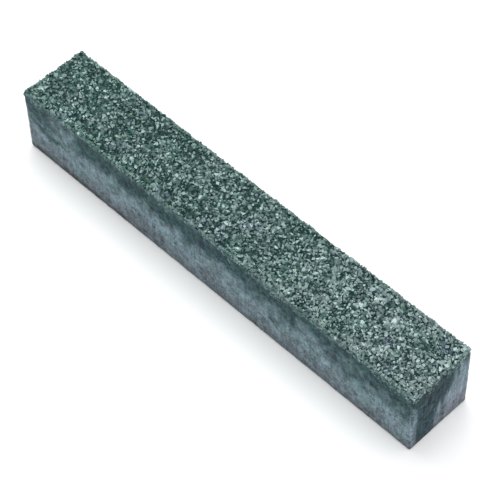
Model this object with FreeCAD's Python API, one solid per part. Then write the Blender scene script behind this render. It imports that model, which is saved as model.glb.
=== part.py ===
import FreeCAD, Part
import math
import os
import random

# A square-section sharpening stone of coarse green silicon carbide: one pressed and fired bar.
# The mould leaves five smooth faces. The sixth, the working face, is open grit: angular
# crystals that stand out of the bond.
#
# Frame: the origin is the centre of the underside, +X runs along the bar and +Z points out
# of the working face. All lengths are in millimetres and all angles in degrees.

# Driving dimensions.
LENGTH = 150.0
WIDTH = 22.3
HEIGHT = 24.1               # to the tips of the highest crystals
CRYSTAL_STAND = 0.5         # how far the highest crystal stands out of the bond
ARRIS_RADIUS = 0.5          # the mould rounds the arrises of the underside and the upright ones

# The two sieve sizes of crystal: how many stand proud, and how wide they are across.
COARSE_COUNT = 270
COARSE_WIDTH = (1.15, 1.5)
FINE_COUNT = 210
FINE_WIDTH = (0.75, 1.0)
CRYSTAL_GAP = 0.7           # the least clear bond between two crystals
LEAST_STAND = 0.7           # the lowest crystal's share of CRYSTAL_STAND
MOST_TILT = 10.0            # slope of the facet that closes a crystal's top
SIDES = (4, 5, 6)           # facets round a crystal
STONE_SEED = 20

BOND_TOP = HEIGHT - CRYSTAL_STAND


def bonded_bar():
    """The bar below the proud crystals, with its moulded arrises rounded."""
    bar = Part.makeBox(LENGTH, WIDTH, BOND_TOP, FreeCAD.Vector(-LENGTH / 2, -WIDTH / 2, 0))
    moulded = []
    for edge in bar.Edges:
        if edge.BoundBox.ZMin < BOND_TOP - ARRIS_RADIUS:
            moulded.append(edge)
    return bar.makeFillet(ARRIS_RADIUS, moulded)


def scatter(count, widths, placed, chance):
    """Random places on the working face for count crystals, clear of those already placed."""
    added = []
    while len(added) < count:
        width = chance.uniform(*widths)
        reach_x = LENGTH / 2 - ARRIS_RADIUS - width / 2
        reach_y = WIDTH / 2 - ARRIS_RADIUS / 2 - width / 2
        x = chance.uniform(-reach_x, reach_x)
        y = chance.uniform(-reach_y, reach_y)
        clear = True
        for other_x, other_y, other_width in placed + added:
            if math.hypot(x - other_x, y - other_y) < (width + other_width) / 2 + CRYSTAL_GAP:
                clear = False
                break
        if clear:
            added.append((x, y, width))
    return added


def crystal(x, y, width, chance):
    """One angular crystal: a leaning pyramid on the bond, cut off by a tilted facet."""
    sides = chance.choice(SIDES)
    turn = chance.uniform(0, 360)
    foot = []
    for side in range(sides):
        angle = math.radians(turn + (side + chance.uniform(-0.25, 0.25)) * 360 / sides)
        reach = width / 2 * chance.uniform(0.8, 1.0)
        foot.append(FreeCAD.Vector(x + reach * math.cos(angle), y + reach * math.sin(angle), BOND_TOP))

    # The apex is where the leaning side facets would meet, well above the cut.
    lean = width * 0.3
    apex_rise = width * chance.uniform(1.0, 1.5)
    apex = FreeCAD.Vector(x + chance.uniform(-lean, lean), y + chance.uniform(-lean, lean),
                          BOND_TOP + apex_rise)

    # The cut slopes away from its highest corner, which stays within the bar's height.
    slope = math.tan(math.radians(chance.uniform(0, MOST_TILT)))
    heading = math.radians(chance.uniform(0, 360))
    slope_x = slope * math.cos(heading)
    slope_y = slope * math.sin(heading)
    stand = CRYSTAL_STAND * chance.uniform(LEAST_STAND, 1.0)
    middle_stand = stand - slope * width / 2
    top = []
    for corner in foot:
        ray = apex - corner
        rise_at_foot = middle_stand + slope_x * (corner.x - x) + slope_y * (corner.y - y)
        share = rise_at_foot / (ray.z - slope_x * ray.x - slope_y * ray.y)
        top.append(corner + ray * share)

    facets = [foot[::-1], top]
    for side in range(sides):
        after = (side + 1) % sides
        facets.append([foot[side], foot[after], top[after], top[side]])
    faces = []
    for outline in facets:
        faces.append(Part.Face(Part.makePolygon(outline + outline[:1])))
    return Part.Solid(Part.Shell(faces))


def crystals(places, chance):
    """The crystals of one sieve size, as a group of separate solids."""
    return Part.makeCompound([crystal(x, y, width, chance) for x, y, width in places])


chance = random.Random(STONE_SEED)
coarse_places = scatter(COARSE_COUNT, COARSE_WIDTH, [], chance)
fine_places = scatter(FINE_COUNT, FINE_WIDTH, coarse_places, chance)

nodes = {
    "bonded_body": bonded_bar(),
    "coarse_crystals": crystals(coarse_places, chance),
    "fine_crystals": crystals(fine_places, chance),
}

os.makedirs("parts", exist_ok=True)
for name, shape in nodes.items():
    shape.exportStep(f"parts/{name}.step")
    box = shape.BoundBox
    print(name, "solids", len(shape.Solids), "valid", shape.isValid(), "volume", round(shape.Volume, 1),
          "z", round(box.ZMin, 3), round(box.ZMax, 3))
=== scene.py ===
import math
import random

import bmesh
import bpy
import numpy as np
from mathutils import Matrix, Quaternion, Vector, noise


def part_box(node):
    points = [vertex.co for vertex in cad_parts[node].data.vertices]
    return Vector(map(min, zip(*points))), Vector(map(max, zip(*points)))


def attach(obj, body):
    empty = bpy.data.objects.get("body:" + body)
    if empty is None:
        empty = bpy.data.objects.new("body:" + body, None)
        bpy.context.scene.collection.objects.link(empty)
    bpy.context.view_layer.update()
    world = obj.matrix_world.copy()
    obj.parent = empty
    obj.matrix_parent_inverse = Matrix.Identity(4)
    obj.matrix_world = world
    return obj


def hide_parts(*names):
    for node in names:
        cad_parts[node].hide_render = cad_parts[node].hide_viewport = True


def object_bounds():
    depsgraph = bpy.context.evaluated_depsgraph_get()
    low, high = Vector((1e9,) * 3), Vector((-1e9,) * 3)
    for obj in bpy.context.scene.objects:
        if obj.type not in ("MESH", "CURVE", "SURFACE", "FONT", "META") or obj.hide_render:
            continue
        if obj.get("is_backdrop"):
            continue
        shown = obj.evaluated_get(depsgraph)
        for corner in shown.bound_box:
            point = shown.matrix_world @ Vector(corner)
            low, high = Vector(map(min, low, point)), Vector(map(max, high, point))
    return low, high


# The looks of a square-section sharpening stone of coarse green silicon carbide.
# All lengths are in metres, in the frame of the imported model: +X runs along the bar and
# +Z points out of the open grit face. The bar's moulded skin and the bed of bond between
# the crystals are one mesh. The crystals are thousands of separate angular shards that
# stand in the bed, grouped into pieces by their colour and their place.

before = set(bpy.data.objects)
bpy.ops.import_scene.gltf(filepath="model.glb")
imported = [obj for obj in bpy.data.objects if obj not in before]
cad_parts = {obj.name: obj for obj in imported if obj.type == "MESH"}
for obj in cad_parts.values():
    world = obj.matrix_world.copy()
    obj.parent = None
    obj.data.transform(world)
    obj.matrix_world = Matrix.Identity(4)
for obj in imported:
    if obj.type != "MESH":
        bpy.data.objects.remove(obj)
cad_low, cad_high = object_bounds()
cad_low, cad_high = Vector(cad_low), Vector(cad_high)
middle = (cad_low + cad_high) / 2
length, height = (cad_high - cad_low).xz
MM = 0.001

# ---------------------------------------------------------------- camera

# Where the camera stands, as seen from its aim: azimuth 0 is straight in front of the long side
# and 90 is beyond the +X end. Angles are in degrees.
CAMERA_AZIMUTH = 46.54
CAMERA_ELEVATION = 52.59
CAMERA_ROLL = -1.745
CAMERA_DISTANCE = 3.57 * length
CAMERA_AIM = Vector((4.2, 1.0, -1.9)) * MM      # from the middle of the bar
LENS = 140.3
SENSOR_WIDTH = 36


def direction(azimuth, elevation):
    """The direction from the bar to something at this azimuth and elevation."""
    turn = math.radians(azimuth)
    rise = math.radians(elevation)
    return Vector((math.sin(turn) * math.cos(rise), -math.cos(turn) * math.cos(rise), math.sin(rise)))


def make_camera():
    back = direction(CAMERA_AZIMUTH, CAMERA_ELEVATION)
    data = bpy.data.cameras.new("camera")
    data.lens = LENS
    data.sensor_width = SENSOR_WIDTH
    data.clip_start = 0.01
    camera = bpy.data.objects.new("camera", data)
    bpy.context.scene.collection.objects.link(camera)
    aim = back.to_track_quat("Z", "Y")
    camera.rotation_euler = (aim @ Quaternion((0, 0, 1), math.radians(CAMERA_ROLL))).to_euler()
    camera.location = middle + CAMERA_AIM + back * CAMERA_DISTANCE
    bpy.context.scene.camera = camera


make_camera()

# ---------------------------------------------------------------- helpers for materials


class Nodes:
    """Short names for the nodes of one material."""

    def __init__(self, name):
        self.material = bpy.data.materials.new(name)
        self.material.use_nodes = True
        self.tree = self.material.node_tree
        self.shader = self.tree.nodes["Principled BSDF"]
        self.place = self.new("TexCoord").outputs["Object"]

    def new(self, kind):
        return self.tree.nodes.new("ShaderNode" + kind)

    def link(self, value, socket):
        if isinstance(value, bpy.types.NodeSocket):
            self.tree.links.new(value, socket)
        else:
            socket.default_value = value

    def math(self, operation, a, b=0.0):
        node = self.new("Math")
        node.operation = operation
        self.link(a, node.inputs[0])
        self.link(b, node.inputs[1])
        return node.outputs[0]

    def minus(self, a, b):
        return self.math("SUBTRACT", a, b)

    def plus(self, *values):
        total = values[0]
        for value in values[1:]:
            total = self.math("ADD", total, value)
        return total

    def times(self, *values):
        product = values[0]
        for value in values[1:]:
            product = self.math("MULTIPLY", product, value)
        return product

    def axis(self, letter):
        """The place along one axis, in metres."""
        node = self.new("SeparateXYZ")
        self.link(self.place, node.inputs[0])
        return node.outputs[letter]

    def off_middle(self, letter):
        """How far the place is from the bar's middle along one axis, on either side, in metres."""
        return self.math("ABSOLUTE", self.axis(letter))

    def upward(self):
        """How squarely the surface faces up: 1 where it is level, 0 where it is upright."""
        node = self.new("SeparateXYZ")
        self.link(self.new("NewGeometry").outputs["Normal"], node.inputs[0])
        return node.outputs["Z"]

    def stretched(self, scale, offset):
        """The place, scaled along each axis: a small number draws a pattern out along that axis."""
        node = self.new("Mapping")
        self.link(self.place, node.inputs["Vector"])
        node.inputs["Scale"].default_value = scale
        node.inputs["Location"].default_value = offset
        return node.outputs[0]

    def noise(self, size, detail=2.0, roughness=0.5, stretch=(1, 1, 1), offset=(0, 0, 0), contrast=1.0):
        """Soft noise around 0.5 with blobs about size metres across."""
        node = self.new("TexNoise")
        self.link(self.stretched(stretch, offset), node.inputs["Vector"])
        node.inputs["Scale"].default_value = 1 / size
        node.inputs["Detail"].default_value = detail
        node.inputs["Roughness"].default_value = roughness
        value = node.outputs["Fac"]
        if contrast != 1.0:
            value = self.spread(value, 0.5 - 0.5 / contrast, 0.5 + 0.5 / contrast)
        return value

    def sway(self, amount, size, **kind):
        """Noise centred on 0, for adding an unevenness of about a quarter of amount either way."""
        return self.times(self.minus(self.noise(size, **kind), 0.5), amount)

    def spread(self, value, low, high, to_low=0.0, to_high=1.0, smooth=True):
        """value between low and high, mapped to between to_low and to_high and held there beyond."""
        node = self.new("MapRange")
        node.interpolation_type = "SMOOTHSTEP" if smooth else "LINEAR"
        self.link(value, node.inputs["Value"])
        node.inputs["From Min"].default_value = low
        node.inputs["From Max"].default_value = high
        node.inputs["To Min"].default_value = to_low
        node.inputs["To Max"].default_value = to_high
        return node.outputs["Result"]

    def cells(self, size, raggedness):
        """Ragged cells about size metres across: three random values for each, and the seams between."""
        ragged = self.new("TexNoise")
        ragged.inputs["Scale"].default_value = 1 / raggedness
        self.link(self.place, ragged.inputs["Vector"])
        shifted = self.new("VectorMath")
        shifted.operation = "ADD"
        self.link(self.place, shifted.inputs[0])
        self.link(self.scaled(ragged.outputs["Color"], raggedness), shifted.inputs[1])
        whole = self.new("TexVoronoi")
        edges = self.new("TexVoronoi")
        edges.feature = "DISTANCE_TO_EDGE"
        for voronoi in (whole, edges):
            self.link(shifted.outputs[0], voronoi.inputs["Vector"])
            voronoi.inputs["Scale"].default_value = 1 / size
        chances = self.new("SeparateColor")
        self.link(whole.outputs["Color"], chances.inputs[0])
        return chances.outputs, self.spread(edges.outputs["Distance"], 0.0, SEAM_WIDTH, 1.0, 0.0)

    def scaled(self, tint, factor):
        node = self.new("VectorMath")
        node.operation = "SCALE"
        self.link(tint, node.inputs[0])
        self.link(factor, node.inputs["Scale"])
        return node.outputs[0]

    def mix(self, share, a, b, blend="MIX"):
        node = self.new("Mix")
        node.data_type = "RGBA"
        node.blend_type = blend
        self.link(share, node.inputs[0])
        self.link(a, node.inputs[6])
        self.link(b, node.inputs[7])
        return node.outputs[2]

    def bump(self, height, distance, strength):
        node = self.new("Bump")
        node.inputs["Distance"].default_value = distance
        node.inputs["Strength"].default_value = strength
        self.link(height, node.inputs["Height"])
        self.link(node.outputs[0], self.shader.inputs["Normal"])


def opaque(tint):
    return (*tint, 1.0)


# ---------------------------------------------------------------- the bar

VOXEL = 0.42 * MM                 # the skin's mesh size
ON_FACE = 0.6 * VOXEL             # nearer to a face than this, a vertex lies on it
CRYSTAL_PITCH = 1.0 * MM

# The bed of bond on the working face, and the rim round it, where crystals have broken away.
BED_DEPTH = 0.75 * MM             # from the bond's highest places to the bottom of its pores
BED_LEVEL = 0.45                  # how deep it lies on average, as a share of that
BED_CONTRAST = 0.7                # how strongly the noise raises its humps and sinks its pores
RIM_REACH = 1.9 * MM              # how far in from the sides the rim is worn
RIM_WEAR = 1.0 * MM               # how much lower the rim lies where it is worn most
RIM_DEPTH = 2.6 * MM              # how far down the sides the wear reaches
RIM_SETBACK = 0.75 * MM           # how far the rim stands in from the walls where it is worn most

# How the moulded faces depart from flat: how wide each unevenness is, and how deep.
SWELL_SIZE = 12 * MM
SWELL_DEPTH = 0.03 * MM
GRAIN_SIZE = 0.8 * MM
GRAIN_DEPTH = 0.025 * MM
PORE_SIZE = 1.3 * MM
PORE_DEPTH = 1.2 * MM
PORE_START = 0.52                 # only noise above this opens a pore
ARRIS_SIZE = 1.6 * MM
ARRIS_DEPTH = 0.15 * MM
ARRIS_START = -0.25               # only noise above this wears an arris down
ARRIS_REACH = 1.5 * MM            # how far from an arris its unevenness reaches
CORNER_REACH = 0.9 * MM           # how far from an arris both of its faces push a vertex inwards


def bar_mesh():
    """The CAD bar as an even skin of small faces, roughened: the moulded faces a little, the bed deeply."""
    bar = bpy.data.objects.new("stone_body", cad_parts["bonded_body"].data.copy())
    bpy.context.scene.collection.objects.link(bar)
    weld = bmesh.new()
    weld.from_mesh(bar.data)
    bmesh.ops.remove_doubles(weld, verts=weld.verts, dist=0.001 * MM)
    weld.to_mesh(bar.data)
    weld.free()
    remesh = bar.modifiers.new("skin", "REMESH")
    remesh.mode = "VOXEL"
    remesh.voxel_size = VOXEL
    depsgraph = bpy.context.evaluated_depsgraph_get()
    skin = bpy.data.meshes.new_from_object(bar.evaluated_get(depsgraph))
    bar.modifiers.remove(remesh)
    bar.data = skin
    roughen(skin)
    for polygon in skin.polygons:
        polygon.use_smooth = True
    return bar


def soft_noise(point, size, seed):
    """Noise from about -1 to 1 with blobs about size metres across."""
    return noise.noise(point / size + Vector((seed * 7.3, seed * 3.1, seed * 5.7)))


def held(value, low, high):
    return min(max(value, low), high)


def uneven_share(point, size, seed, contrast, least):
    """A share of about a half that varies from place to place, never under least or over 1."""
    return held(0.5 + contrast * soft_noise(point, size, seed), least, 1.0)


def roughen(skin):
    low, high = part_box("bonded_body")
    box_middle = (low + high) / 2
    half = (high - low) / 2
    for vertex in skin.vertices:
        point = vertex.co.copy()
        inside = Vector([held(point[i], low[i], high[i]) for i in range(3)])
        side_gap = min(half.x - abs(inside.x - box_middle.x), half.y - abs(inside.y - box_middle.y))
        on_top = high.z - inside.z < ON_FACE
        move = rim_setback(inside, cad_high.z - inside.z)
        if on_top:
            move.z -= bed_drop(point) + rim_wear(point.x, point.y)
        if not on_top or side_gap < ON_FACE:
            depth = skin_depth(point, edge_share(inside, box_middle, half))
            move += inward(inside, box_middle, half) * depth
        vertex.co = inside + move


def bed_drop(point):
    """How deep the bed lies: pores between humps of bond, about as far apart as the crystals."""
    pores = soft_noise(point, 0.9 * CRYSTAL_PITCH, 1) + 0.5 * soft_noise(point, 0.4 * CRYSTAL_PITCH, 2)
    return BED_DEPTH * held(BED_LEVEL - BED_CONTRAST * pores, 0, 1)


def skin_depth(point, edge):
    """How deep a moulded face lies: a slow swell, a fine grain, a few open pores, and uneven arrises."""
    swell = SWELL_DEPTH * (1 + soft_noise(point, SWELL_SIZE, 3))
    grain = GRAIN_DEPTH * (1 + soft_noise(point, GRAIN_SIZE, 4))
    pore = PORE_DEPTH * max(soft_noise(point, PORE_SIZE, 5) - PORE_START, 0)
    arris = ARRIS_DEPTH * edge * max(soft_noise(point, ARRIS_SIZE, 6) - ARRIS_START, 0)
    return swell + grain + pore + arris


def rim_setback(point, depth):
    """How the worn rim stands in from the walls, most at the top and nothing RIM_DEPTH below it."""
    worn = uneven_share(point, 3.2 * MM, 22, contrast=1.1, least=0.1)
    drop = max(0.0, 1 - depth / RIM_DEPTH) ** 2
    move = Vector((0, 0, 0))
    for axis in (0, 1):
        near = max(0.0, 1 - (cad_high[axis] - abs(point[axis])) / RIM_REACH)
        move[axis] = -math.copysign(RIM_SETBACK * worn * drop * near, point[axis])
    return move


def rim_wear(x, y):
    """How much lower the grit lies near the rim, where crystals have broken away."""
    loss = uneven_share(Vector((x, y, 0)), 3.5 * MM, 21, contrast=0.9, least=0.15)
    return RIM_WEAR * loss * rim_nearness(x, y) ** 1.5


def rim_nearness(x, y):
    """1 at the rim, falling to 0 at RIM_REACH from it."""
    gap = min(cad_high.x - abs(x), cad_high.y - abs(y))
    return held(1 - gap / RIM_REACH, 0.0, 1.0)


def edge_share(point, box_middle, half):
    """1 on an arris, falling to 0 at ARRIS_REACH from it."""
    gaps = sorted(half[i] - abs(point[i] - box_middle[i]) for i in range(3))
    return max(0.0, 1 - gaps[1] / ARRIS_REACH)


def inward(point, box_middle, half):
    """The direction into the bar from the nearest face, or from both faces at an arris."""
    way_in = Vector((0, 0, 0))
    for i in range(3):
        gap = half[i] - abs(point[i] - box_middle[i])
        share = max(0.0, 1 - gap / CORNER_REACH)
        way_in[i] = -share if point[i] > box_middle[i] else share
    if way_in.length < 1e-6:
        return way_in
    return way_in.normalized()


# ---------------------------------------------------------------- crystals

STONE_SEED = 7

# A shard is a block cut by planes. Its measures here are in units of its own size.
SHARD_KINDS = 60
SHARD_BLOCK = 1.1
SHARD_PLANES = 8
SHARD_PLANE_REACH = (0.28, 0.5)   # how far from its middle a plane cuts
SHARD_BREADTH = (0.7, 1.0)
SHARD_THICKNESS = (0.55, 0.9)
SHORT_EDGE = 0.03                 # edges shorter than this are closed up
PLANE_GAP = 1e-5                  # a corner nearer to a plane than this lies on it

# Shards that stand where the CAD crystals stand, then crystals between them, then chips in the gaps.
PROUD_WIDTH = 1.12                # a shard's size for each unit of its CAD crystal's width
CRYSTAL_SIZES = (0.85 * MM, 1.4 * MM)
CRYSTAL_ROOM = 0.66 * MM          # the least distance between the middles of two crystals
CRYSTAL_TRIES = 26000
CRYSTAL_DROP = (0.036 * MM, 0.6 * MM)       # how far below the highest crystal the others' tops lie
CHIP_SIZES = (0.4 * MM, 0.75 * MM)
CHIP_ROOM = 0.45 * MM
CHIP_TRIES = 12000
CHIP_DROP = (0.4 * MM, 0.8 * MM)
RIM_MARGIN = 0.2 * MM             # the crystals' middles stay this far inside the walls
WALL_PRESS = 0.02 * MM            # how far in from the mould's wall a crystal may be pressed flat

# The crystals that show in the sides just under the rim, in rows one below the other.
RIM_SIZES = (0.6 * MM, 1.15 * MM)
RIM_PITCH = 0.6 * MM
RIM_ROWS = 7
RIM_ROW_DROP = 0.45 * MM
RIM_START = 0.3 * MM              # the depth of the first row
RIM_INSET = (0.15 * MM, 0.4 * MM)           # how far in from the wall their middles lie
RUN_JITTER = (0.1, 0.9)           # a crystal's place within its step along the rim
DEPTH_JITTER = (-0.4, 0.6)        # and above or below its row, in rows
ROW_SHARE = 0.95                  # the share of the first row's places that are taken
ROW_LOSS = 0.19                   # how much smaller each lower row's share is
ROW_PATCHES = 1.7                 # how much the share varies along the rim
CORNER_RUN = 2.2 * MM             # nearer to a corner than this, the sides show fewer crystals
CORNER_LOSS = 0.9                 # how much smaller the share is at the corner itself

# How pale a crystal is at least in each colour group, from the palest. The rest are deep green.
SHADES = (("crystals_pale", 1.15), ("crystals_grey_green", 0.3), ("crystals_green", -0.6))
TINT_PATCHES = ((4.5 * MM, 1.7, 12), (2.4 * MM, 1.2, 13))       # their size, strength and seed
RIM_PATCHES = (3.5 * MM, 2.5, 14)           # the same for more patches at the rim only
RIM_DARKER = 0.1                  # how much darker the crystals at the rim are
PAINTED_LIGHT_DRIFT = 0.6                  # how much the grit pales from the middle to the +X end: painted light, standing for more light falling on that end
PAINTED_LIGHT_BENDS = ((0.5, 1.3), (0.88, 10))      # past these shares of the way, the painted light grows this much faster
BLUE_SHARE = 0.06                 # the share of blue-grey crystals outside the bluish patches
BLUE_PALENESS = -1.0              # crystals darker than this are never blue grey

# Patches where the grit is bluer, and paler or darker, than around them: place, radius and paleness.
BLUE_PATCHES = (
    (-66 * MM, -4.5 * MM, 2.0 * MM, -1.6),
    (-60 * MM, -9.5 * MM, 3.0 * MM, -0.6),
    (-45 * MM, 1.0 * MM, 1.8 * MM, 0.0),
    (-40 * MM, -7.0 * MM, 2.2 * MM, -0.9),
    (-20 * MM, -9.5 * MM, 2.6 * MM, 0.0),
    (-6 * MM, -9.5 * MM, 2.6 * MM, 0.0),
    (4 * MM, 0.5 * MM, 2.4 * MM, -0.9),
    (3 * MM, -8.5 * MM, 2.8 * MM, -0.5),
    (58 * MM, -2.0 * MM, 2.2 * MM, 0.9),
    (63 * MM, -8.0 * MM, 2.8 * MM, 0.0),
    (70 * MM, 7.0 * MM, 2.6 * MM, 0.9),
)


def shard_shapes(chance):
    """Convex angular shapes about one unit across: a block cut by planes, as a crushed crystal breaks."""
    shapes = []
    for kind in range(SHARD_KINDS):
        block = bmesh.new()
        bmesh.ops.create_cube(block, size=SHARD_BLOCK)
        for cut in range(SHARD_PLANES):
            facing = Vector([chance.gauss(0, 1) for i in range(3)]).normalized()
            cut_block(block, facing, chance.uniform(*SHARD_PLANE_REACH))
        bmesh.ops.dissolve_degenerate(block, edges=block.edges[:], dist=SHORT_EDGE)
        bmesh.ops.recalc_face_normals(block, faces=block.faces[:])
        corners = np.array([vertex.co[:] for vertex in block.verts])
        block.verts.index_update()
        facets = [[vertex.index for vertex in face.verts] for face in block.faces]
        shapes.append((corners, facets))
        block.free()
    return shapes


def cut_block(block, facing, reach):
    """Cuts off what lies beyond the plane and closes the cut."""
    cut_off = bmesh.ops.bisect_plane(
        block, geom=block.verts[:] + block.edges[:] + block.faces[:],
        plane_co=facing * reach, plane_no=facing, clear_outer=True, dist=PLANE_GAP)
    rim = [item for item in cut_off["geom_cut"] if isinstance(item, bmesh.types.BMEdge)]
    if rim:
        bmesh.ops.contextual_create(block, geom=rim)


def cad_crystals(node):
    """The middle, width and top of each crystal of a CAD node."""
    copy = bmesh.new()
    copy.from_mesh(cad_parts[node].data)
    bmesh.ops.remove_doubles(copy, verts=copy.verts[:], dist=0.001 * MM)
    seen = set()
    found = []
    for start in copy.verts:
        if start in seen:
            continue
        corners = np.array([vertex.co[:] for vertex in connected(start, seen)])
        low, high = corners.min(0), corners.max(0)
        found.append((float(low[0] + high[0]) / 2, float(low[1] + high[1]) / 2,
                      float(max(high[0] - low[0], high[1] - low[1])), float(high[2])))
    copy.free()
    return found


def connected(start, seen):
    """All the vertices of the solid that start belongs to, which are marked as seen."""
    seen.add(start)
    group = [start]
    for vertex in group:
        for edge in vertex.link_edges:
            other = edge.other_vert(vertex)
            if other not in seen:
                seen.add(other)
                group.append(other)
    return group


class Grit:
    """One piece: many crystals in one mesh."""

    def __init__(self, name):
        self.name = name
        self.corners = []
        self.facets = []
        self.count = 0

    def add(self, corners, facets):
        self.facets.extend([[index + self.count for index in facet] for facet in facets])
        self.corners.append(corners)
        self.count += len(corners)

    def make(self):
        mesh = bpy.data.meshes.new(self.name)
        mesh.from_pydata(np.concatenate(self.corners).tolist(), [], self.facets)
        mesh.update()
        piece = bpy.data.objects.new(self.name, mesh)
        bpy.context.scene.collection.objects.link(piece)
        return piece


class Spots:
    """Places on the working face that keep their distance from each other."""

    def __init__(self, most):
        self.places = np.zeros((most, 2))
        self.count = 0

    def add(self, x, y):
        self.places[self.count] = (x, y)
        self.count += 1

    def fill(self, tries, room, chance):
        """Yields random places at least room away from every place so far."""
        for attempt in range(tries):
            x = chance.uniform(cad_low.x + RIM_MARGIN, cad_high.x - RIM_MARGIN)
            y = chance.uniform(cad_low.y + RIM_MARGIN, cad_high.y - RIM_MARGIN)
            taken = self.places[:self.count]
            if ((taken - (x, y)) ** 2).sum(1).min() >= room ** 2:
                self.add(x, y)
                yield x, y


def random_turn(chance):
    return Quaternion([chance.gauss(0, 1) for i in range(4)]).normalized().to_matrix()


def placed_shard(shapes, x, y, size, top, chance):
    """One crystal with its highest corner at the height top, turned any way, inside the bar's outline."""
    corners, facets = chance.choice(shapes)
    stretch = np.array([1.0, chance.uniform(*SHARD_BREADTH), chance.uniform(*SHARD_THICKNESS)])
    turn = np.array(random_turn(chance))
    moved = (corners * stretch * size) @ turn.T
    moved[:, 0] += x
    moved[:, 1] += y
    moved[:, 2] += top - moved[:, 2].max()
    # The mould's walls pressed the outermost crystals flat.
    for axis in (0, 1):
        pressed = chance.uniform(0, WALL_PRESS)
        moved[:, axis] = np.clip(moved[:, axis], cad_low[axis] + pressed, cad_high[axis] - pressed)
    return moved, facets


def rim_places(chance):
    """Places of the crystals that show in the sides just under the rim: x, y and depth."""
    places = []
    for row in range(RIM_ROWS):
        for on_end, half_run, half_off in ((False, cad_high.x, cad_high.y), (True, cad_high.y, cad_high.x)):
            count = int(2 * half_run / RIM_PITCH)
            for side in (-1, 1):
                for step in range(count):
                    run = -half_run + (step + chance.uniform(*RUN_JITTER)) * 2 * half_run / count
                    off = side * (half_off - chance.uniform(*RIM_INSET))
                    depth = RIM_START + (row + chance.uniform(*DEPTH_JITTER)) * RIM_ROW_DROP
                    if chance.random() > row_share(row, run, off, half_run):
                        continue
                    place = Vector((off, run, 0) if on_end else (run, off, 0))
                    place += rim_setback(place, depth)
                    places.append((place.x, place.y, depth))
    return places


def row_share(row, run, off, half_run):
    """The share of a row's places that are taken: the lower rows are gappy, so they end unevenly."""
    patch = soft_noise(Vector((run, off, 0)), 4 * MM, 31)
    at_corner = max(0.0, 1 - (half_run - abs(run)) / CORNER_RUN)
    return ROW_SHARE - ROW_LOSS * row + ROW_PATCHES * patch - CORNER_LOSS * at_corner


def tint_patch(x, y, size, strength, seed):
    """How much paler, or darker, a random patch makes the crystals at this place."""
    return strength * soft_noise(Vector((x, y, 0)), size, seed)


def crystal_tint(x, y, chance):
    """Which colour group a crystal belongs to: mostly chance, with patches, and paler towards the +X end as
    painted light.
    """
    along = x / cad_high.x
    paleness = chance.gauss(0, 1) + rim_nearness(x, y) * (tint_patch(x, y, *RIM_PATCHES) - RIM_DARKER)
    paleness += sum(tint_patch(x, y, *patch) for patch in TINT_PATCHES)
    # Painted light: the crystals are paler towards the +X end, as if more light fell on that end of the
    # top.
    paleness += PAINTED_LIGHT_DRIFT * along + sum(steeper * max(along - start, 0) for start, steeper in PAINTED_LIGHT_BENDS)
    blueness = BLUE_SHARE
    for patch_x, patch_y, radius, lift in BLUE_PATCHES:
        inside = math.exp(-((x - patch_x) ** 2 + (y - patch_y) ** 2) / radius ** 2)
        paleness += lift * inside
        blueness = max(blueness, inside)
    if chance.random() < blueness and paleness > BLUE_PALENESS:
        return "crystals_blue_grey"
    for name, least in SHADES:
        if paleness > least:
            return name
    return "crystals_deep_green"


def make_crystals():
    chance = random.Random(STONE_SEED)
    shapes = shard_shapes(chance)
    pieces = {}

    def put(name, x, y, size, top):
        moved, facets = placed_shard(shapes, x, y, size, top, chance)
        pieces.setdefault(name, Grit(name)).add(moved, facets)

    # The proudest crystals stand where the CAD model has them.
    spots = Spots(CRYSTAL_TRIES + CHIP_TRIES)
    for node in ("coarse_crystals", "fine_crystals"):
        for x, y, across, top in cad_crystals(node):
            put(node + "_proud", x, y, across * PROUD_WIDTH, top)
            spots.add(x, y)
    for x, y in spots.fill(CRYSTAL_TRIES, CRYSTAL_ROOM, chance):
        top = cad_high.z - chance.uniform(*CRYSTAL_DROP) - rim_wear(x, y)
        put(crystal_tint(x, y, chance), x, y, chance.uniform(*CRYSTAL_SIZES), top)
    for x, y in spots.fill(CHIP_TRIES, CHIP_ROOM, chance):
        top = cad_high.z - chance.uniform(*CHIP_DROP) - rim_wear(x, y)
        put(crystal_tint(x, y, chance), x, y, chance.uniform(*CHIP_SIZES), top)
    for x, y, depth in rim_places(chance):
        put("crystals_at_rim", x, y, chance.uniform(*RIM_SIZES), cad_high.z - depth)
    return {name: grit.make() for name, grit in pieces.items()}


# ---------------------------------------------------------------- materials

# Each crystal piece's darkest and lightest colour, its roughness, and its index of refraction.
# Silicon carbide refracts far more than glass. The crystals at the rim are dulled by the skin's film.
FINISHES = {
    "crystals_deep_green": ((0.008, 0.029, 0.027), (0.042, 0.096, 0.089), 0.12, 2.1),
    "crystals_green": ((0.024, 0.061, 0.057), (0.09, 0.158, 0.151), 0.15, 2.1),
    "crystals_grey_green": ((0.067, 0.104, 0.102), (0.193, 0.252, 0.248), 0.18, 2.1),
    "crystals_pale": ((0.175, 0.23, 0.228), (0.36, 0.43, 0.427), 0.2, 2.1),
    "crystals_blue_grey": ((0.055, 0.076, 0.100), (0.185, 0.218, 0.272), 0.18, 2.1),
    "crystals_at_rim": ((0.020, 0.056, 0.057), (0.28, 0.36, 0.355), 0.35, 1.5),
    "coarse_crystals_proud": ((0.035, 0.070, 0.066), (0.22, 0.285, 0.28), 0.15, 2.1),
    "fine_crystals_proud": ((0.05, 0.090, 0.087), (0.30, 0.37, 0.365), 0.15, 2.1),
}
GREENER = (0.72, 1.0, 0.88)       # what the greener crystals' colour is multiplied by
CRYSTAL_GLINT = (0.8, 1.0, 0.99)
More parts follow.
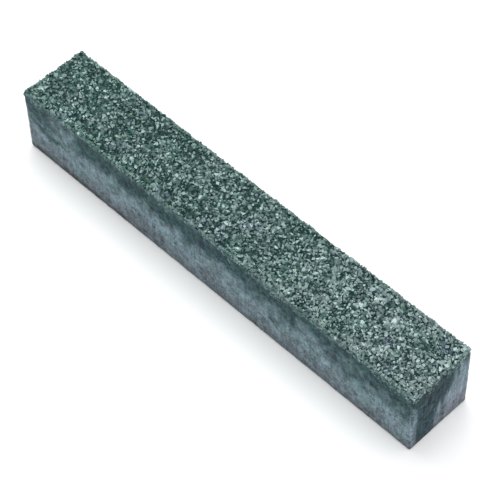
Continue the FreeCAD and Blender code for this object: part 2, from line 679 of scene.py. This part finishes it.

# The skin's colours: the pale film of the lower half, partly a painted sheen of the burnished faces, the
# bare dark bond, and their tints.
PALE_BLUE = (0.193, 0.264, 0.312)
PALE_GREEN = (0.146, 0.230, 0.234)
PALE_MAUVE = (0.130, 0.160, 0.185)
END_MAUVE = (0.160, 0.188, 0.214)
SLATE_BLUE = (0.020, 0.050, 0.063)
SLATE_GREEN = (0.026, 0.072, 0.069)
# Painted shade: a dark brown along the arrises of the underside, next to the floor.
UNDERSIDE_SHADE_BROWN = (0.046, 0.052, 0.053)
# The bed's colour: the bond's own dark green, deepened by painted shade of the pores between the crystals.
BED_COLOUR_AND_SHADE = (0.009, 0.029, 0.027)
WALL_FILM = (0.012, 0.050, 0.058)           # the film where it runs over the pressed crystals
WARMER = (1.04, 0.95, 1.0)        # what the lower half of the ends is multiplied by
SKIN_GLINT = (0.8, 1.0, 1.0)

# The cells of the skin: a crystal each, pressed flat behind the film.
CELL_RAGGEDNESS = 0.5 * MM
SEAM_WIDTH = 0.09                 # in cells

# Where each mark begins to show, and where it is full. Places down a face are shares of its height
# below the rim, and places across an end are shares of its width from the front arris.
BAND_FADE = (0.65, 0.29)          # the dark band under the rim of the long sides
# The dark stretch starts a little way in from the front arris. The pale strip it leaves there is a painted
# highlight of the rounded arris.
STRETCH_LEFT = (0.03, 0.15)       # the dark stretch of the ends, on its two sides
STRETCH_RIGHT = (0.86, 0.62)
END_RIM_FADE = (0.2, 0.04)        # the dark rim of the ends
FOOT_FADE = (0.55, 0.85)          # the mauve foot of the film
UNDERSIDE_SHADE_FADE = (0.17, 0.02)         # the painted brown shade, from the arrises of the underside
WARM_FADE = (0.1, 0.6)            # the warmer tint of the ends
PRESSED_FADE = (0.3 * MM, 0.1 * MM)         # the film over pressed crystals, from the wall
BED_FADE = (2.6 * MM, 2.0 * MM)   # the bed's dark colour and painted shade, from the bond's highest places
LEVEL_FADE = (0.2, 0.5)           # and by how squarely the surface faces up
END_FADE = (1.2 * MM, 0.4 * MM)   # the look of the ends, from the end
SCUFF_EDGE = (0.56, 0.62)         # crisp edges, by the noise that draws the scuffs and flecks
FLECK_EDGE = (0.60, 0.66)

# A dark streak that slants down the front side from the -X end.
STREAK_START = 0.36               # its share of the height below the rim, at the end
STREAK_RUN = 19 * MM
STREAK_FALL = 0.24                # how much further down it is where it fades out
STREAK_EDGE = (0.1, 0.02)         # from its middle line

# The dark corner of the long sides at the +X end.
CORNER_FADE = (8 * MM, 2 * MM)    # from the end
CORNER_FOOT = (0.8, 0.4)          # down the face
CORNER_DARKNESS = 0.55

DARKEST_TONE = 0.3                # the skin is never darker than this share of its own colour


def crystal_material(name, dark, light, roughness, refraction):
    """Glassy green crystal: each one has its own tint and sheen, with cloudy faces and fine scratches."""
    n = Nodes(name)
    island = n.new("NewGeometry").outputs["Random Per Island"]
    cloud = n.noise(0.35 * MM, detail=3, contrast=2.0)
    drift = n.noise(11 * MM, detail=2, contrast=1.8, offset=(3, 1, 0))
    base = n.mix(n.plus(n.times(island, 0.6), n.times(cloud, 0.4)), opaque(dark), opaque(light))
    greener = n.mix(1.0, base, opaque(GREENER), "MULTIPLY")
    far = n.spread(n.axis("X"), cad_high.x, cad_low.x, 0.0, 0.5, smooth=False)
    base = n.mix(n.plus(far, n.times(drift, 0.5)), base, greener)

    # Where the mould pressed crystals flat, the film of the skin runs over them in patches.
    at_end = n.spread(n.off_middle("X"), *[cad_high.x - gap for gap in PRESSED_FADE])
    at_side = n.spread(n.off_middle("Y"), *[cad_high.y - gap for gap in PRESSED_FADE])
    filmed = n.times(n.math("MAXIMUM", at_end, at_side), n.noise(0.8 * MM, detail=3, contrast=2.5))
    n.link(n.mix(filmed, base, opaque(WALL_FILM)), n.shader.inputs["Base Color"])
    sheen = n.plus(n.times(cloud, 0.22), roughness, n.times(filmed, 0.4))
    n.link(sheen, n.shader.inputs["Roughness"])
    n.shader.inputs["IOR"].default_value = refraction
    n.shader.inputs["Specular Tint"].default_value = opaque(CRYSTAL_GLINT)
    n.bump(n.noise(0.12 * MM, detail=3), 0.02 * MM, 0.5)
    return n.material


def side_darkness(n, drop):
    """How bare the long sides are of film and of its painted sheen: a soft band under the rim, a slanting
    streak, and a corner.
    """
    wander = n.plus(n.sway(0.95, 8 * MM, detail=2, offset=(1, 5, 2)),
                    n.sway(0.6, 2.6 * MM, detail=4, roughness=0.6, stretch=(1, 1, 0.7), offset=(4, 0, 7)))
    thinner = n.plus(n.spread(n.axis("X"), -0.12 * length, -0.3 * length, 0.0, 0.13),
                     n.spread(n.axis("X"), 0.2 * length, 0.42 * length, 0.0, 0.06))
    fuller = n.spread(drop, 0.02, 0.12, 0.62, 1.0)
    band = n.times(n.spread(n.plus(drop, wander, thinner), *BAND_FADE, smooth=False), fuller)

    run = n.minus(n.axis("X"), cad_low.x)
    line = n.plus(n.times(run, STREAK_FALL / STREAK_RUN), STREAK_START)
    off_line = n.math("ABSOLUTE", n.minus(n.plus(drop, n.times(wander, 0.4)), line))
    streak = n.times(n.spread(off_line, *STREAK_EDGE, 0.0, 0.9),
                     n.spread(run, 1.2 * STREAK_RUN, 0.6 * STREAK_RUN),
                     n.spread(run, 0.0, 0.2 * STREAK_RUN),
                     n.spread(n.axis("Y"), 0.0, cad_low.y))

    near_end = n.spread(n.axis("X"), *[cad_high.x - gap for gap in CORNER_FADE], 0.0, CORNER_DARKNESS)
    corner = n.times(near_end, n.spread(n.plus(drop, wander), *CORNER_FOOT))
    return n.math("MAXIMUM", n.math("MAXIMUM", band, streak), corner)


def end_darkness(n, drop, across):
    """How bare the ends are: a dark stretch a little way in from the front arris, widest at the rim, with
    run marks. The pale strip it leaves along the arris is a painted highlight.
    """
    marks = n.plus(n.sway(0.5, 1.6 * MM, detail=3, roughness=0.6, stretch=(1, 1, 0.12), offset=(2, 2, 9)),
                   n.sway(0.35, 5 * MM, detail=2, offset=(5, 2, 3)))
    left_edge = n.plus(across, n.times(marks, 0.5), n.spread(drop, 0.1, 0.3, 0.14, 0.0))
    right_edge = n.plus(across, n.spread(drop, 0.25, 0.7, 0.0, 0.3), marks)
    # Painted highlight: the stretch stays clear of a strip beside the front arris, which keeps the pale
    # film.
    stretch = n.times(n.spread(left_edge, *STRETCH_LEFT), n.spread(right_edge, *STRETCH_RIGHT))
    rim = n.spread(n.plus(drop, marks), *END_RIM_FADE, 0.0, 0.75)
    return n.math("MAXIMUM", stretch, rim)


def film_and_sheen_colour(n, drop, on_end):
    """The pale film, partly a painted sheen of the burnished faces: grey blue with greener patches, and
    mauve towards the foot.
    """
    patches = n.noise(5 * MM, detail=3, contrast=2.4, offset=(8, 3, 1))
    film = n.mix(patches, opaque(PALE_BLUE), opaque(PALE_GREEN))
    foot = n.spread(n.plus(drop, n.sway(0.9, 6 * MM, detail=2, offset=(3, 8, 5))), *FOOT_FADE, 0.0, 0.85)
    return n.mix(foot, film, n.mix(on_end, opaque(PALE_MAUVE), opaque(END_MAUVE)))


def slate_colour(n, on_end):
    """The bare bond: blue slate with green patches, which are fainter on the ends."""
    patches = n.times(n.noise(3.5 * MM, detail=3, contrast=2.4, offset=(6, 9, 4)),
                      n.spread(on_end, 0.0, 1.0, 1.0, 0.35))
    return n.mix(patches, opaque(SLATE_BLUE), opaque(SLATE_GREEN))


def underside_shade(n, drop, high):
    """How brown the skin is: painted shade along the arrises of the underside, strongest towards the -X
    end.
    """
    from_side = n.math("MINIMUM", n.minus(high.x, n.off_middle("X")), n.minus(high.y, n.off_middle("Y")))
    from_arris = n.plus(n.minus(1.0, drop), n.times(from_side, 1 / height),
                        n.sway(0.22, 3 * MM, detail=3, offset=(7, 1, 1)))
    return n.times(n.spread(from_arris, *UNDERSIDE_SHADE_FADE),
                   n.spread(n.axis("X"), -0.25 * length, -0.15 * length, 1.0, 0.3))


def skin_tone(n, drop, across, on_end, dark, cell, seam, grit):
    """How light the skin is, around 1: from slow patches down to the grit."""
    scuffs = n.noise(2.4 * MM, detail=5, roughness=0.68, stretch=(1, 1, 0.6), offset=(2, 6, 3))
    flecks = n.noise(1.5 * MM, detail=5, roughness=0.68, offset=(9, 2, 6))
    slow = n.sway(0.7, 6 * MM, detail=2, offset=(9, 4, 2))
    mottle = n.times(n.sway(1.7, 1.9 * MM, detail=5, roughness=0.65, stretch=(1, 1, 0.75)),
                     n.spread(on_end, 0.0, 1.0, 1.0, 0.6))
    # The mould drew these up the faces, and more so on the ends.
    drawn = n.times(n.sway(0.8, 1.0 * MM, detail=3, stretch=(1, 1, 0.1)),
                    n.spread(on_end, 0.0, 1.0, 1.0, 2.6))
    # The ends darken towards the rim where they are bare, and turn paler towards the foot beyond.
    bare = n.times(on_end, dark, n.spread(drop, 0.35, 0.1, 0.0, -0.35))
    beyond = n.times(on_end, n.spread(across, 0.5, 0.7), n.spread(drop, 0.2, 0.6, -0.1, 0.15))
    back_arris = n.times(on_end, n.spread(across, 0.8, 1.0, 0.0, -0.16))
    # Scuffs are where the film is scraped thin, flecks where it is thick. Both have crisp edges.
    thin = n.times(n.spread(scuffs, *SCUFF_EDGE), -0.25)
    thick = n.times(n.spread(flecks, *FLECK_EDGE), 0.22)
    cells = n.times(n.minus(cell, 0.5), n.plus(n.times(dark, 0.3), 0.35))
    return n.plus(1.0, slow, mottle, drawn, bare, beyond, back_arris, thin, thick, cells,
                  n.times(n.minus(grit, 0.5), 0.9), n.sway(1.7, 0.5 * MM, detail=2), n.times(seam, -0.1))


def stone_material():
    """The moulded skin, slate green above and grey blue below, and the dark bed between the crystals."""
    n = Nodes("stone_skin")
    low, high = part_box("bonded_body")
    drop = n.spread(n.axis("Z"), cad_high.z, low.z, smooth=False)
    across = n.spread(n.axis("Y"), low.y, high.y, smooth=False)
    on_end = n.spread(n.off_middle("X"), *[high.x - gap for gap in END_FADE])
    dark = n.mix(on_end, side_darkness(n, drop), end_darkness(n, drop, across))
    chances, seam = n.cells(CRYSTAL_PITCH, CELL_RAGGEDNESS)
    grit = n.noise(0.16 * MM, detail=3, roughness=0.6)

    # Painted sheen: the pale film colour stands partly for the sheen of the burnished faces, and gives way
    # to slate where the skin is bare.
    base = n.mix(dark, film_and_sheen_colour(n, drop, on_end), slate_colour(n, on_end))
    # Painted shade along the arrises of the underside.
    base = n.mix(underside_shade(n, drop, high), base, opaque(UNDERSIDE_SHADE_BROWN))
    tone = skin_tone(n, drop, across, on_end, dark, chances[0], seam, grit)
    base = n.scaled(base, n.math("MAXIMUM", tone, DARKEST_TONE))
    warmer = n.mix(1.0, base, opaque(WARMER), "MULTIPLY")
    base = n.mix(n.times(on_end, n.spread(drop, *WARM_FADE)), base, warmer)

    # The bed: bond between the crystals, its own dark green deepened by painted shade that stands for the
    # shade in its pores.
    bed = n.times(n.spread(n.axis("Z"), *[high.z - gap for gap in BED_FADE]),
                  n.spread(n.upward(), *LEVEL_FADE))
    n.link(n.mix(bed, base, opaque(BED_COLOUR_AND_SHADE)), n.shader.inputs["Base Color"])
    n.link(n.plus(0.45, n.times(chances[1], 0.3), n.times(grit, 0.2)), n.shader.inputs["Roughness"])
    n.shader.inputs["Specular IOR Level"].default_value = 0.2
    n.shader.inputs["Specular Tint"].default_value = opaque(SKIN_GLINT)
    relief = n.plus(n.times(chances[2], 0.35), n.times(seam, -0.2), grit,
                    n.times(n.noise(0.6 * MM, detail=3), 0.8))
    n.bump(relief, 0.1 * MM, 0.6)
    return n.material


# ---------------------------------------------------------------- studio

FLOOR_SIZE = 6                    # in metres
FLOOR_TINTS = ((0.93, 0.93, 0.93), (0.95, 0.95, 0.95))
SKY_TINT = (0.95, 0.98, 1.0)
SKY_STRENGTH = 0.34


def floor_material():
    n = Nodes("studio_floor")
    shade = n.noise(0.5, detail=1)
    n.link(n.mix(shade, opaque(FLOOR_TINTS[0]), opaque(FLOOR_TINTS[1])), n.shader.inputs["Base Color"])
    n.shader.inputs["Roughness"].default_value = 0.9
    n.shader.inputs["Specular IOR Level"].default_value = 0.0
    return n.material


def make_studio():
    bpy.ops.mesh.primitive_plane_add(size=FLOOR_SIZE, location=(middle.x, middle.y, cad_low.z))
    floor = bpy.context.object
    floor.name = "floor"
    floor.data.materials.append(floor_material())
    floor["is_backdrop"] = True

    world = bpy.data.worlds.new("studio")
    bpy.context.scene.world = world
    world.use_nodes = True
    background = world.node_tree.nodes["Background"]
    background.inputs["Color"].default_value = opaque(SKY_TINT)
    background.inputs["Strength"].default_value = SKY_STRENGTH

    softbox("key_light", azimuth=-115, elevation=60, distance=0.9, size=0.8, power=4.5)
    softbox("fill_light", azimuth=40, elevation=35, distance=0.9, size=0.8, power=2.2)
    sky_light("top_light", azimuth=100, elevation=78, spread=60, strength=1.6)
    bpy.context.scene.view_settings.view_transform = "Standard"


def softbox(name, azimuth, elevation, distance, size, power):
    """A square light that faces the bar."""
    data = bpy.data.lights.new(name, "AREA")
    data.size = size
    data.energy = power
    place_light(name, data, direction(azimuth, elevation), distance)


def sky_light(name, azimuth, elevation, spread, strength):
    """Soft light from a broad part of the sky, as even on the far floor as on the bar."""
    data = bpy.data.lights.new(name, "SUN")
    data.angle = math.radians(spread)
    data.energy = strength
    place_light(name, data, direction(azimuth, elevation), 1.0)


def place_light(name, data, out, distance):
    light = bpy.data.objects.new(name, data)
    bpy.context.scene.collection.objects.link(light)
    light.location = middle + out * distance
    light.rotation_euler = out.to_track_quat("Z", "Y").to_euler()


# ---------------------------------------------------------------- putting it together

bar = bar_mesh()
bar.data.materials.clear()
bar.data.materials.append(stone_material())
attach(bar, "root")
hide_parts("bonded_body")

crystals = make_crystals()
for name, piece in crystals.items():
    piece.data.materials.append(crystal_material(name, *FINISHES[name]))
    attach(piece, "root")
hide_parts("coarse_crystals")
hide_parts("fine_crystals")

make_studio()

now_low, now_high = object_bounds()
{"cad": [list(cad_low), list(cad_high)], "visual": [list(now_low), list(now_high)]}
